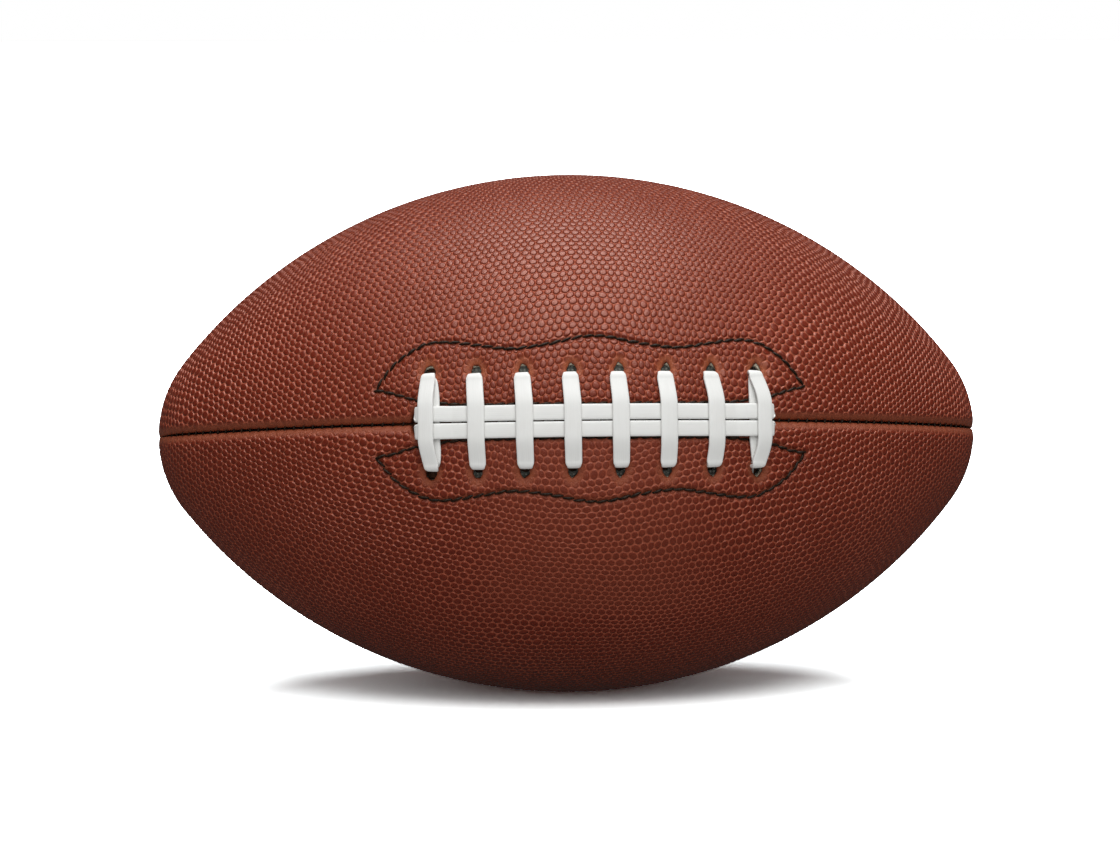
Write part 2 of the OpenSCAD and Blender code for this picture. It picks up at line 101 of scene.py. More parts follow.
def number_math(tree, operation, *values):
    return add(tree, "ShaderNodeMath", dict(enumerate(values)), operation=operation).outputs[0]


def vector_math(tree, operation, *values):
    return add(tree, "ShaderNodeVectorMath", dict(enumerate(values)), operation=operation).outputs


def noise(tree, place, scale, detail=2.0, roughness=0.5, output="Fac"):
    return add(tree, "ShaderNodeTexNoise", {"Vector": place, "Scale": scale, "Detail": detail,
                                            "Roughness": roughness}).outputs[output]


def object_noise(tree, scale, detail=2.0):
    return noise(tree, add(tree, "ShaderNodeTexCoord").outputs["Object"], scale, detail)


def new_material(name, **finish):
    """A material with its Principled shader. Its plain finish values are set here."""
    material = bpy.data.materials.new(name)
    material.use_nodes = True
    shader = material.node_tree.nodes["Principled BSDF"]
    for key, value in finish.items():
        shader.inputs[key.replace("_", " ")].default_value = value
    return material, material.node_tree, shader


def blend_colours(tree, amount, first, second):
    return add(tree, "ShaderNodeMix", {0: amount, 6: first, 7: second},
               data_type="RGBA").outputs[2]


def ramp_up(tree, value, low, high, start=0.0, end=1.0):
    """Start below low, end above high and a smooth change between."""
    return add(tree, "ShaderNodeMapRange", {
        "Value": value, "From Min": low, "From Max": high, "To Min": start, "To Max": end},
        interpolation_type="SMOOTHSTEP").outputs[0]


def finish_bump(tree, shader, height, depth):
    bump = add(tree, "ShaderNodeBump", {"Height": height, "Distance": depth})
    tree.links.new(bump.outputs[0], shader.inputs["Normal"])


def woven(name, thread, gap, scale, depth, roughness):
    """Plain weave: two crossed sets of threads, with painted shade darkening the gaps between them.
    A scale of 100 gives 318 threads to the metre."""
    material, tree, shader = new_material(name, Roughness=roughness)
    place = add(tree, "ShaderNodeTexCoord").outputs["Object"]
    height = number_math(tree, "MULTIPLY", *(
        add(tree, "ShaderNodeTexWave", {"Vector": place, "Scale": scale, "Distortion": 0.4},
            bands_direction=axis).outputs["Fac"] for axis in "XZ"))
    dust = ramp_up(tree, object_noise(tree, 60), 0.3, 0.7)
    # Painted shade: the gap colour darkens the low parts between the threads.
    cloth = blend_colours(tree, height, gap, thread)
    worn = blend_colours(tree, dust, cloth, thread)
    tree.links.new(blend_colours(tree, 0.3, cloth, worn), shader.inputs["Base Color"])
    finish_bump(tree, shader, height, depth)
    return material


def mottled(name, spots, low, high, dark, light, depth, relief=None, **finish):
    """Two shades in soft spots of noise. Its relief is the same noise or another one."""
    material, tree, shader = new_material(name, **finish)
    shade = object_noise(tree, *spots)
    tree.links.new(blend_colours(tree, ramp_up(tree, shade, low, high), dark, light),
                   shader.inputs["Base Color"])
    finish_bump(tree, shader, object_noise(tree, *relief) if relief else shade, depth)
    return material


def dress(material, *names):
    """Gives nodes of the frame their material."""
    for name in names:
        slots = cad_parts[name].data.materials
        slots.clear()
        slots.append(material)


# The second colour of each weave is the painted shade in its gaps.
cotton = woven("cotton_lining", (0.72, 0.66, 0.52, 1), (0.36, 0.32, 0.24, 1), 1400 / 6,
               0.0003, 0.9)
coated_cloth = woven("coated_facing", (0.24, 0.25, 0.22, 1), (0.035, 0.036, 0.03, 1), 250,
                     0.0003, 0.62)
bladder_rubber = mottled("bladder_rubber", (90, 4), 0.35, 0.75, (0.035, 0.033, 0.033, 1),
                         (0.06, 0.055, 0.055, 1), 0.00006, relief=(1800, 3), Roughness=0.5)
valve_rubber = mottled("valve_rubber", (90, 4), 0.35, 0.75, (0.012, 0.012, 0.013, 1),
                       (0.035, 0.034, 0.034, 1), 0.00006, relief=(1800, 3), Roughness=0.42)
dress(cotton, "lining_lace_upper", "lining_lace_lower", "lining_back_upper",
      "lining_back_lower")
dress(coated_cloth, "facing_upper", "facing_lower")
dress(bladder_rubber, "bladder")
dress(valve_rubber, "valve_body", "valve_plug")


# ---- Leather panels ----
# Four panels of pebbled leather are sewn edge to edge inside out and turned, so that each
# edge rolls down into the seam and its allowance stands inward. The lace panels have eight
# punched holes each and stand apart under the lace. Lengths in this section are in mm.
BALL_RADIUS, HALF_LENGTH, TIP_RADIUS = 86.5, 137.0, 39.3
LACE_ROLL = 8.6                 # degrees that the laces are turned up from level
LEATHER = 1.6                   # thickness
SEAM_HALF_GAP, POINT_HALF_GAP = 0.36, 0.08  # along the ball and at its points
SEAM_CLOSES = 20                # over which a seam closes up to a point of the ball
ROLL_WIDTH, ROLL_DEPTH = 2.9, 2.0
POINT_ROLL_DEPTH = 0.6          # the rolled edges are shallower at the points of the ball
POINT_ROLL_LENGTH = 30          # and reach their depth at this distance from them
FOLD_END = 5.5                  # depth of the seam allowances' lower edges
SLOT_HALF_WIDTH, SLOT_END = 3.6, 58.95
SLOT_PAST, SLOT_TAPER = 0.9, 1.2  # where and how fast the slot's ends close
LACE_COUNT, LACE_PITCH = 8, 15.1
HOLE_Y = 15.8                   # from the seam to the middle of a hole
HOLE_DRIFT = np.array([0, 0, 0, 0.1, 0.2, 0.3, 0.4, 0.9])  # of each pair along the seam
HOLE_SHIFT = {1: 0.75, -1: 0.2}  # of the upper and lower holes, further out
HOLE_WORN = {1: 1.0, -1: 0.5}   # share of the rubbed colour at their rims
END_HOLE_WIDTH = 1.2            # the end holes are wider, for two layers of the lace
HOLE_REACH = 12                 # a hole changes the leather within this distance
VALVE_HOLE = 4.32               # radius

# Pebbles: none as near as the first, and all of them the second length further out
PLAIN_EDGE, EDGE_FADE = 1.0, 2.6
PLAIN_RIM, RIM_FADE = 0.5, 2.4
PLAIN_VALVE, VALVE_FADE = 0.4, 1.6
PLAIN_ROW, ROW_FADE, ROW_PEBBLES = 0.3, 1.3, 0.25  # a quarter stays on a facing's row
FLATTENED, FLAT_LENGTH, FLAT_Y, FLAT_FADE = 0.52, 50, 60, 25  # by use, below the lace

# Wear and relief of the leather's face, each with the width over which it fades
WORN_EDGE, WORN_WIDTH, WORN_RIM = 0.45, 2.8, 1.75
SEAM_DENT, DENT_WIDTH = 0.3, 1.5  # at each stitch of a seam
RIM_DEPTH, RIM_WIDTH = 0.5, 0.8  # rounded rim of a hole
PULL_DEPTH, PULL_WIDTH = 0.55, 2.2  # where the lace draws the leather in
WRINKLES, WRINKLE_HEIGHT, WRINKLE_AT, WRINKLE_WIDTH = 11, 0.09, 1.5, 1.4  # round a hole
ROW_DEPTH, ROW_DENT, ROW_WIDTH = 0.40, 0.24, 0.8  # groove of a facing's row, its stitches
ROW_BULGE, BULGE_AT = 0.12, 1.5  # beside the row, between two stitches

STEP = 0.66                     # distance between two points of the leather's face
ROW_STEP, INNER_STEP = STEP * 0.866, STEP * 2.9
PEBBLE = 2.55                   # distance between two pebbles
PEBBLE_HEIGHT = 0.25            # from the net between them to their tops
PEBBLE_MIDDLE = 0.6             # share of it below the leather's face

tip_x = HALF_LENGTH - TIP_RADIUS
side_radius = ((tip_x ** 2 + BALL_RADIUS ** 2 - TIP_RADIUS ** 2)
               / (2 * (BALL_RADIUS - TIP_RADIUS)))
side_c = side_radius - BALL_RADIUS
join_a = math.atan2(tip_x, side_c)
join_s = side_radius * join_a
end_s = join_s + TIP_RADIUS * (math.pi / 2 - join_a)
lace_s = (np.arange(LACE_COUNT) - (LACE_COUNT - 1) / 2) * LACE_PITCH


def meridian(s, h=0.0):
    """Place along the ball and distance from its axis, s along the leather and h above."""
    size = np.abs(s)
    on_side = size <= join_s
    a = np.where(on_side, size / side_radius, join_a + (size - join_s) / TIP_RADIUS)
    x = np.where(on_side, (side_radius + h) * np.sin(a), tip_x + (TIP_RADIUS + h) * np.sin(a))
    r = np.where(on_side, (side_radius + h) * np.cos(a) - side_c, (TIP_RADIUS + h) * np.cos(a))
    return np.sign(s) * x, r


turn = math.radians(90 - LACE_ROLL)


def posed(points):
    """From millimetres with the laces on top to metres with the laces in front."""
    x, y, z = np.moveaxis(np.asarray(points, float), -1, 0)
    return np.stack([x, y * math.cos(turn) - z * math.sin(turn),
                     y * math.sin(turn) + z * math.cos(turn)], -1) / 1000


def on_ball(s, angle, h=0.0):
    """Point at angle round the ball from the lace seam, in metres where the ball lies."""
    x, r = meridian(s, h)
    return posed(np.stack([x, r * np.sin(angle), r * np.cos(angle)], -1))


def smooth(t):
    t = np.clip(t, 0, 1)
    return t * t * (3 - 2 * t)


def join_rows(first, at_first, second, at_second):
    """Triangles between two rows of points, each in order of its place in the row."""
    first, second = np.asarray(first), np.asarray(second)
    places = np.concatenate([at_first[1:], at_second[1:]])
    kind = np.concatenate([np.zeros(len(first) - 1, int), np.ones(len(second) - 1, int)])
    kind = kind[np.argsort(places, kind="stable")]
    i = np.cumsum(kind == 0) - (kind == 0)
    j = np.cumsum(kind == 1) - (kind == 1)
    last = np.where(kind == 0, first[np.minimum(i + 1, len(first) - 1)],
                    second[np.minimum(j + 1, len(second) - 1)])
    faces = np.stack([first[i], second[j], last], 1)
    return faces[(faces != np.roll(faces, 1, 1)).all(1)]


def signed_distance(points, outline):
    """Distance to a closed outline, below zero inside it."""
    a, b = outline, np.roll(outline, -1, 0)
    best = np.full(len(points), 1e9)
    inside = np.zeros(len(points), bool)
    for p, q in zip(a, b):
        edge = q - p
        t = np.clip(((points - p) @ edge) / (edge @ edge), 0, 1)
        best = np.minimum(best, np.hypot(*(points - p - t[:, None] * edge).T))
        crosses = (p[1] > points[:, 1]) != (q[1] > points[:, 1])
        at = p[0] + (points[:, 1] - p[1]) / (edge[1] if edge[1] else 1e-9) * edge[0]
        inside ^= crosses & (points[:, 0] < at)
    return np.where(inside, -best, best)


def cut_hole(flat, faces, outline):
    """Moves the nearest points onto an outline and drops the faces inside it.
    Returns the faces that are left and the points round the hole, in order."""
    middle = outline.mean(0)
    near = (np.abs(flat - middle).max(1) < np.abs(outline - middle).max() + 5)[faces].all(1)
    local = faces[near]
    ids = np.unique(local)
    value = np.full(len(flat), 1e9)
    value[ids] = signed_distance(flat[ids], outline)
    edges = np.unique(np.sort(local[:, [0, 1, 1, 2, 2, 0]].reshape(-1, 2), 1), axis=0)
    moves = {}
    for a, b in edges[value[edges[:, 0]] * value[edges[:, 1]] < 0]:
        p, q = (a, b) if abs(value[a]) < abs(value[b]) else (b, a)
        step = value[p] / (value[p] - value[q]) * (flat[q] - flat[p])
        if p not in moves or np.hypot(*step) < np.hypot(*moves[p]):
            moves[p] = step
    for p, step in moves.items():
        flat[p] += step
        value[p] = 0
    middles = signed_distance(flat[local].mean(1), outline)
    gone = (value[local] <= 0).all(1) & (middles < 0)
    rim = np.intersect1d(local[gone], local[~gone])
    rim = rim[np.argsort(np.arctan2(*(flat[rim] - middle).T[::-1]))]
    return np.concatenate([faces[~near], local[~gone]]), rim


def roll(d, width=ROLL_WIDTH):
    """Share of the roll's depth at distance d from the edge: a quarter of an ellipse."""
    t = 1 - np.clip(d / width, 0, 1)
    return 1 - np.sqrt(1 - t * t)


def seam_edge(s):
    """Distance from a seam to the leather's edge. The seams close up at the points."""
    return POINT_HALF_GAP + (SEAM_HALF_GAP - POINT_HALF_GAP) * smooth(
        (end_s - np.abs(s)) / SEAM_CLOSES)


def slot_edge(s):
    """Distance from the lace seam to the leather's edge: the seam is open at the slot."""
    edge = seam_edge(s)
    opening = smooth((SLOT_END + SLOT_PAST - np.abs(s)) / SLOT_TAPER)
    return edge + (SLOT_HALF_WIDTH - edge) * opening


# Outline of a lace hole: a drop whose narrow end points away from the seam. Each pair is the
# distance from the hole's middle, outward, and half the width there.
half_widths = [(-2.3, 0.0), (-2.0, 0.9), (-1.2, 1.55), (-0.2, 1.72), (0.8, 1.45), (1.6, 1.08),
               (2.2, 0.66), (2.5, 0.3), (2.6, 0.0)]
finer = np.linspace(0, len(half_widths) - 1, 17)
hole_y = np.interp(finer, range(len(half_widths)), [p[0] for p in half_widths])
hole_x = np.interp(finer, range(len(half_widths)), [p[1] for p in half_widths])
drop = np.concatenate([np.stack([hole_x, hole_y], 1), np.stack([-hole_x, hole_y], 1)[-2:0:-1]])

# Stitch rows of the facings, as shares along and across the seam. The upper one is wider.
LOBE_X, INNER_Y = 71.0, 5.4
LOBE_Y = {"upper": 27.5, "lower": 25.9}
lobe_shares = [(1, 0.4), (0.9, 0.71), (0.77, 0.92), (0.66, 0.955), (0.52, 0.905), (0.37, 0.855),
               (0.2, 0.91), (0.08, 0.98), (0, 1)]
inner_shares = [(0.92, 0.16), (0.83, 0.09), (0.74, 0.05), (0.6, 0.01), (0.3, 0)]


def spline(p0, p1, p2, p3, t):
    """Point at share t of the curve from p1 to p2."""
    return ((2 * p1) + (p2 - p0) * t + (2 * p0 - 5 * p1 + 4 * p2 - p3) * t ** 2
            + (3 * p1 - p0 - 3 * p2 + p3) * t ** 3) / 2


def stitch_row(lobe_y, steps=12):
    """Smooth closed row through the points, kept sharp at its two pointed ends."""
    half = ([(0, INNER_Y)] + [(a * LOBE_X, INNER_Y + b * lobe_y) for a, b in inner_shares[::-1]]
            + [(a * LOBE_X, b * lobe_y) for a, b in lobe_shares])
    points = np.array(half + [(-a, b) for a, b in half[-2:0:-1]])
    n, row = len(points), []
    for i in range(n):
        a, b = points[i], points[(i + 1) % n]
        before = a if abs(a[0]) > LOBE_X * 0.99 else points[i - 1]
        after = b if abs(b[0]) > LOBE_X * 0.99 else points[(i + 2) % n]
        row += [spline(before, a, b, after, k / steps) for k in range(steps)]
    return np.array(row)


facing_rows = {side: stitch_row(lobe_y) for side, lobe_y in LOBE_Y.items()}
STITCH_PITCH = 3.6


def distances(line, power=1):
    """How far along a line each of its points lies."""
    steps = np.linalg.norm(np.diff(line, axis=0), axis=1) ** power
    return np.concatenate([[0], np.cumsum(steps)])


def evenly(places, pitch, closed=False):
    """Shares of a line's points at which stitches of about one pitch fall, and the way
    along the line to each of its points, counted in stitches."""
    if closed:
        places = np.concatenate([places, places[:1]])
    way = distances(places)
    count = round(way[-1] * 1000 / pitch)
    marks = (np.arange(count) + 0.5) * way[-1] / count
    return np.interp(marks, way, np.arange(len(way))), way / way[-1] * count


def across_seam(row):
    """Points given along and across the lace seam, in metres where the ball lies."""
    return on_ball(row[:, 0], row[:, 1] / meridian(row[:, 0])[1])


facing_marks, facing_way = {}, {}
for side, row in facing_rows.items():
    facing_marks[side], facing_way[side] = evenly(across_seam(row), STITCH_PITCH, closed=True)

# The seams' own stitches cross from panel to panel. The lace seam has none at the slot.
SEAM_PITCH = 3.5
SEAM_DEPTH = 1.5
SEAM_FROM, SEAM_TO = SLOT_END + 1.4, end_s - 3
seam_line_s = {True: np.linspace(SEAM_FROM, SEAM_TO, 160),
               False: np.linspace(-SEAM_TO, SEAM_TO, 400)}
seam_marks, seam_way = {}, {}
for laced, line_s in seam_line_s.items():
    seam_marks[laced], seam_way[laced] = evenly(on_ball(line_s, 0.0, -SEAM_DEPTH), SEAM_PITCH)


def pucker(way):
    """1 at each stitch and 0 half way between two."""
    return 0.5 - 0.5 * np.cos(2 * math.pi * way)


# The four panels: angle of the first edge round the ball, which edge is at the lace, with a
# valve hole or not, and where in the pebbled hide the panel was cut
panels = {
    "panel_lace_upper": dict(start=0.0, lace_edge=0, valve=False, grain=(31.0, 12.0)),
    "panel_lace_lower": dict(start=-90.0, lace_edge=1, valve=False, grain=(-57.0, 84.0)),
    "panel_back_upper": dict(start=90.0, lace_edge=None, valve=True, grain=(210.0, -95.0)),
    "panel_back_lower": dict(start=180.0, lace_edge=None, valve=False, grain=(-330.0, 160.0)),
}


def keep_attribute(mesh, name, values):
    """Stores a number or a vector for each point of a mesh."""
    kind, field = ("FLOAT", "value") if values.ndim == 1 else ("FLOAT_VECTOR", "vector")
    data = mesh.attributes.new(name, kind, "POINT").data
    data.foreach_set(field, values.astype(np.float32).ravel())


def panel_mesh(name, start, lace_edge, valve, grain):
    """One closed panel: its face, rolled edges, seam allowances and inner face."""
    def edge(side, s):
        return slot_edge(s) if lace_edge == side else seam_edge(s)

    start = math.radians(start)
    rows = int(round(2 * end_s / ROW_STEP))
    row_s = np.linspace(-end_s, end_s, rows + 1)
    row_r = meridian(row_s)[1]
    full = np.clip(row_r / 8, 0, 1)          # the inside tapers to nothing at the points
    edge_at = [edge(side, row_s) for side in (0, 1)]
    bends = 1 - np.cos(np.linspace(0, math.pi / 2, 6))
    points = {"s": [], "beta": [], "h": []}

    def keep(s, beta, h):
        first = sum(len(part) for part in points["s"])
        for key, value in (("s", s), ("beta", beta), ("h", h)):
            points[key].append(np.broadcast_to(value, np.shape(beta)).astype(float))
        return first + np.arange(len(beta))

    # Outer face, row by row from one point of the ball to the other
    lists, places = [], []
    for i, s in enumerate(row_s):
        if i in (0, rows):
            beta, at = np.array([math.pi / 4]), np.array([0.0])
        else:
            r, e0, e1 = row_r[i], edge_at[0][i], edge_at[1][i]
            width = r * (math.pi / 2) - e0 - e1
            d = bends * ROLL_WIDTH * min(1.0, 0.42 * width / ROLL_WIDTH)
            first = np.arcsin(np.clip((e0 + d) / r, 0, 0.7))
            last = math.pi / 2 - np.arcsin(np.clip((e1 + d) / r, 0, 0.7))
            n = max(1, int(round(r * (last[-1] - first[-1]) / STEP)))
            between = (np.arange(1, n) if i % 2 else np.arange(n) + 0.5) / n
            beta = np.concatenate([first, first[-1] + between * (last[-1] - first[-1]),
                                   last[::-1]])
            at = np.concatenate([np.arange(6), 5 + between * 100, 105 + np.arange(6)])
        lists.append(keep(s, beta, 0.0))
        places.append(at)
    skin = len(np.concatenate(points["s"]))
    outer = np.concatenate([join_rows(lists[i], places[i], lists[i + 1], places[i + 1])
                            for i in range(rows)])
    poles = [lists[0][0], lists[-1][0]]

    # Inner face, in wider steps, with its rows running back from the second edge
    inner_rows = np.unique(np.append(np.arange(0, rows, 3), rows))
    lists_in, places_in = [], []
    for i in inner_rows:
        if i in (0, rows):
            lists_in.append(np.array([poles[int(i > 0)]]))
            places_in.append(np.array([0.0]))
            continue
        r, grow = row_r[i], LEATHER * full[i]
        b0 = math.asin(min((edge_at[0][i] + grow) / r, 0.7))
        b1 = math.pi / 2 - math.asin(min((edge_at[1][i] + grow) / r, 0.7))
        n = max(2, int(round(r * (b1 - b0) / INNER_STEP)))
        places_in.append(np.arange(n + 1) / n)
        lists_in.append(keep(row_s[i], b1 + (b0 - b1) * places_in[-1],
                             -(ROLL_DEPTH * (1 - full[i]) + grow)))
    inner = np.concatenate([join_rows(lists_in[k], places_in[k], lists_in[k + 1],
                                      places_in[k + 1]) for k in range(len(lists_in) - 1)])

    # Seam allowances: down from each edge, across, and up to the inner face
    bottom = -(ROLL_DEPTH + (FOLD_END - ROLL_DEPTH) * full)
    allowances = []
    for side in (0, 1):
        chain = [(np.array([row[0 if side == 0 else -1] for row in lists]), row_s)]
        for out in (0.0, LEATHER):
            r = np.maximum(meridian(row_s, bottom)[1], 0.3)
            beta = np.arcsin(np.clip((edge_at[side] + out * full) / r, 0, 0.7))
            ids = keep(row_s, beta if side == 0 else math.pi / 2 - beta, bottom)
            ids[[0, -1]] = poles
            chain.append((ids, row_s))
        chain.append((np.array([row[-1 if side == 0 else 0] for row in lists_in]),
                      row_s[inner_rows]))
        for (a, at_a), (b, at_b) in zip(chain, chain[1:]):
            allowances.append(join_rows(a, at_a, b, at_b) if side == 0
                              else join_rows(b, at_b, a, at_a))

    # Holes, cut in the flat: places along the seam and across from it
    s, beta, h = (np.concatenate(points[key]) for key in ("s", "beta", "h"))
    zero, sign = {None: (math.pi / 4, 1), 0: (0.0, 1), 1: (math.pi / 2, -1)}[lace_edge]
    r = np.maximum(meridian(s)[1], 1e-6)
    flat = np.stack([s, sign * (beta - zero) * r], 1)
    outlines, walls = [], []
    if lace_edge is not None:
        widths = [END_HOLE_WIDTH] + [1] * (LACE_COUNT - 2) + [END_HOLE_WIDTH]
        outlines = [drop * (wide, 1) + (at, HOLE_Y + HOLE_SHIFT[sign])
                    for wide, at in zip(widths, lace_s + HOLE_DRIFT)]
    if valve:
        round_a = np.linspace(0, 2 * math.pi, 41)[:-1]
        outlines = [VALVE_HOLE * np.stack([np.cos(round_a), np.sin(round_a)], 1)]
    for outline in outlines:
        outer, rim_out = cut_hole(flat, outer, outline)
        inner, rim_in = cut_hole(flat, inner, outline)
        loops = []
        for rim in (rim_in, rim_out)[::sign]:
            angle = np.arctan2(*(flat[rim] - outline.mean(0)).T[::-1])
            loops += [np.append(rim, rim[0]), np.append(angle, angle[0] + 2 * math.pi)]
        walls.append(join_rows(*loops))
    s, beta = flat[:, 0], np.where(r > 1e-3, zero + sign * flat[:, 1] / r, math.pi / 4)
    faces = np.concatenate([outer, inner, *allowances, *walls])

    # Height of the outer face: rolled edges, holes drawn in by the lace, sunk stitch rows
    is_skin = np.arange(len(s)) < skin
    d0, d1 = r * np.sin(beta) - edge(0, s), r * np.cos(beta) - edge(1, s)
    full_roll = smooth((end_s - np.abs(s)) / POINT_ROLL_LENGTH)
    depth = POINT_ROLL_DEPTH + (ROLL_DEPTH - POINT_ROLL_DEPTH) * full_roll
    lift = -depth * (1 - (1 - roll(d0)) * (1 - roll(d1)))
    seam = np.minimum(d0, d1)
    for side, d in ((0, d0), (1, d1)):
        laced = lace_edge == side
        way = np.interp(np.abs(s) if laced else s, seam_line_s[laced], seam_way[laced])
        held = np.where(laced & (np.abs(s) < SEAM_FROM), 0.0, pucker(way))
        lift -= SEAM_DENT * held * np.exp(-(d / DENT_WIDTH) ** 2)
    pebbles = smooth((seam - PLAIN_EDGE) / EDGE_FADE)
    worn = WORN_EDGE * (1 - smooth(seam / WORN_WIDTH))
    for outline in outlines:
        middle = outline.mean(0)
        near = np.flatnonzero(is_skin & (np.abs(flat - middle).max(1) < HOLE_REACH))
        d = np.maximum(signed_distance(flat[near], outline), 0)
        lift[near] -= RIM_DEPTH * roll(d, RIM_WIDTH)
        if valve:
            pebbles[near] *= smooth((d - PLAIN_VALVE) / VALVE_FADE)
            continue
        toward = np.arctan2(*(flat[near] - middle).T)
        lift[near] -= PULL_DEPTH * np.exp(-(d / PULL_WIDTH) ** 2)
        waves = np.cos(WRINKLES * toward + middle[0])
        lift[near] += WRINKLE_HEIGHT * np.exp(-((d - WRINKLE_AT) / WRINKLE_WIDTH) ** 2) * waves
        pebbles[near] *= smooth((d - PLAIN_RIM) / RIM_FADE)
        worn[near] = np.maximum(worn[near], HOLE_WORN[sign] * np.exp(-(d / WORN_RIM) ** 2))
    if lace_edge == 1:
        pebbles *= 1 - (FLATTENED * np.exp(-(s / FLAT_LENGTH) ** 4)
                        * (1 - smooth((flat[:, 1] - FLAT_Y) / FLAT_FADE)))
    if lace_edge is not None:
        side = "upper" if lace_edge == 0 else "lower"
        row = facing_rows[side]
        near = np.flatnonzero(is_skin & (np.abs(s) < LOBE_X + 4) & (flat[:, 1] < 32))
        away = flat[near][:, None] - row[None]
        nearest = np.argmin((away ** 2).sum(2), 1)
        d = np.abs(signed_distance(flat[near], row[::3]))
        held = pucker(facing_way[side][nearest])
        lift[near] -= (ROW_DEPTH + ROW_DENT * held) * np.exp(-(d / ROW_WIDTH) ** 2)
        lift[near] += ROW_BULGE * (1 - held) * np.exp(-((d - BULGE_AT) / ROW_WIDTH) ** 2)
        pebbles[near] *= ROW_PEBBLES + (1 - ROW_PEBBLES) * smooth((d - PLAIN_ROW) / ROW_FADE)
    h = np.where(is_skin, lift, h)

    # Grain: the panel laid flat, so that the pebbles keep their size from end to end
    bend = np.where(np.abs(s) <= join_s, s / side_radius,
                    np.sign(s) * (join_a + (np.abs(s) - join_s) / TIP_RADIUS))
    slope = -np.sin(bend)
    slope = np.where(np.abs(slope) < 1e-4, 1e-4, slope)
    spread = (beta - math.pi / 4) * slope
    laid = np.stack([s - r * (1 - np.cos(spread)) / slope + grain[0],
                     r * np.sin(spread) / slope + grain[1], 0 * s], 1)

    mesh = bpy.data.meshes.new(name + "_leather")
    places_3d = on_ball(s, start + beta, h)
    used, index = np.unique(faces, return_inverse=True)
    mesh.from_pydata(places_3d[used], [], index.reshape(-1, 3))
    keep_attribute(mesh, "grain", laid[used])
    keep_attribute(mesh, "pebbles", np.where(is_skin, pebbles, 0)[used])
    keep_attribute(mesh, "worn", np.where(is_skin, worn, 0)[used])
    mesh.shade_smooth()
    return mesh


def pebble_relief(tree, place):
    """Round pebbles with flat tops, packed in rows that swirl gently.
    Gives the height of the leather, from 0 between the pebbles to 1 on them."""
    for size, reach in ((60, 12.0), (6.0, 1.7)):
        drift = noise(tree, place, 1 / size, 0.0, output="Color")
        centred = vector_math(tree, "SUBTRACT", drift, (0.5, 0.5, 0.5))[0]
        place = vector_math(tree, "MULTIPLY_ADD", centred, (reach, reach, 0.0), place)[0]
    cell = (PEBBLE / 2, PEBBLE * math.sqrt(3) / 2, 0.0)
    far = []
    for shift in (0.0, 1.0):
        moved = vector_math(tree, "ADD", place, tuple(shift * size for size in cell))[0]
        wrapped = vector_math(tree, "WRAP", moved, cell, tuple(-size for size in cell))[0]
        far.append(vector_math(tree, "LENGTH", wrapped)["Value"])
    nearest = number_math(tree, "MINIMUM", *far)
    share = number_math(tree, "MULTIPLY", nearest, math.sqrt(3) / PEBBLE)
    return ramp_up(tree, share, 0.55, 0.97, 1.0, 0.0)


def group_sockets(name, **inputs):
    """A Geometry Nodes tree with a geometry input and named number inputs."""
    tree = bpy.data.node_groups.new(name, "GeometryNodeTree")
    tree.interface.new_socket("Geometry", in_out="INPUT", socket_type="NodeSocketGeometry")
    tree.interface.new_socket("Geometry", in_out="OUTPUT", socket_type="NodeSocketGeometry")
    for key, value in inputs.items():
        socket = tree.interface.new_socket(key.replace("_", " "), in_out="INPUT",
                                           socket_type="NodeSocketFloat")
        socket.default_value = value
    return tree, tree.nodes.new("NodeGroupInput"), tree.nodes.new("NodeGroupOutput")


def named(tree, name, kind="FLOAT"):
    return add(tree, "GeometryNodeInputNamedAttribute", {"Name": name},
               data_type=kind).outputs["Attribute"]


relief_tree, relief_in, relief_out = group_sockets("pebbled leather",
                                                   Pebble_Height=PEBBLE_HEIGHT / 1000)
relief = pebble_relief(relief_tree, named(relief_tree, "grain", "FLOAT_VECTOR"))
relief = number_math(relief_tree, "SUBTRACT", relief, PEBBLE_MIDDLE)
for factor in (named(relief_tree, "pebbles"), relief_in.outputs["Pebble Height"]):
    relief = number_math(relief_tree, "MULTIPLY", relief, factor)
outward = relief_tree.nodes.new("GeometryNodeInputNormal").outputs[0]
offset = add(relief_tree, "ShaderNodeVectorMath", {0: outward, "Scale": relief},
             operation="SCALE").outputs[0]
moved = add(relief_tree, "GeometryNodeSetPosition", {"Geometry": relief_in.outputs[0],
                                                     "Offset": offset})
relief_tree.links.new(moved.outputs[0], relief_out.inputs[0])


def grown(name, mesh, tree, material):
    """Runs a Geometry Nodes tree on a mesh and returns the plain mesh object it makes."""
    source = new_object(name + "_source", mesh)
    source.modifiers.new("grow", "NODES").node_group = tree
    bpy.context.view_layer.update()
    evaluated = source.evaluated_get(bpy.context.evaluated_depsgraph_get())
    result = bpy.data.meshes.new_from_object(evaluated)
    bpy.data.objects.remove(source)
    result.name = name
    result.materials.clear()
    result.materials.append(material)
    return new_object(name, result)


def attribute(tree, name, output):
    return add(tree, "ShaderNodeAttribute", attribute_name=name).outputs[output]


leather, tree, shader = new_material("pebbled_leather", IOR=1.58,
                                     Specular_Tint=(1.0, 0.61, 0.50, 1))
grain_at = attribute(tree, "grain", "Vector")
pebble, pebbled = pebble_relief(tree, grain_at), attribute(tree, "pebbles", "Fac")
height = number_math(tree, "MULTIPLY", pebble, pebbled)
blotch = ramp_up(tree, noise(tree, grain_at, 0.03, 3.0), 0.3, 0.7)
speckle = noise(tree, grain_at, 0.55)
fine = noise(tree, grain_at, 3.2, 3.0, roughness=0.6)
top = blend_colours(tree, ramp_up(tree, speckle, 0.3, 0.7), (0.127, 0.0095, 0.0018, 1),
                    (0.170, 0.0170, 0.0045, 1))
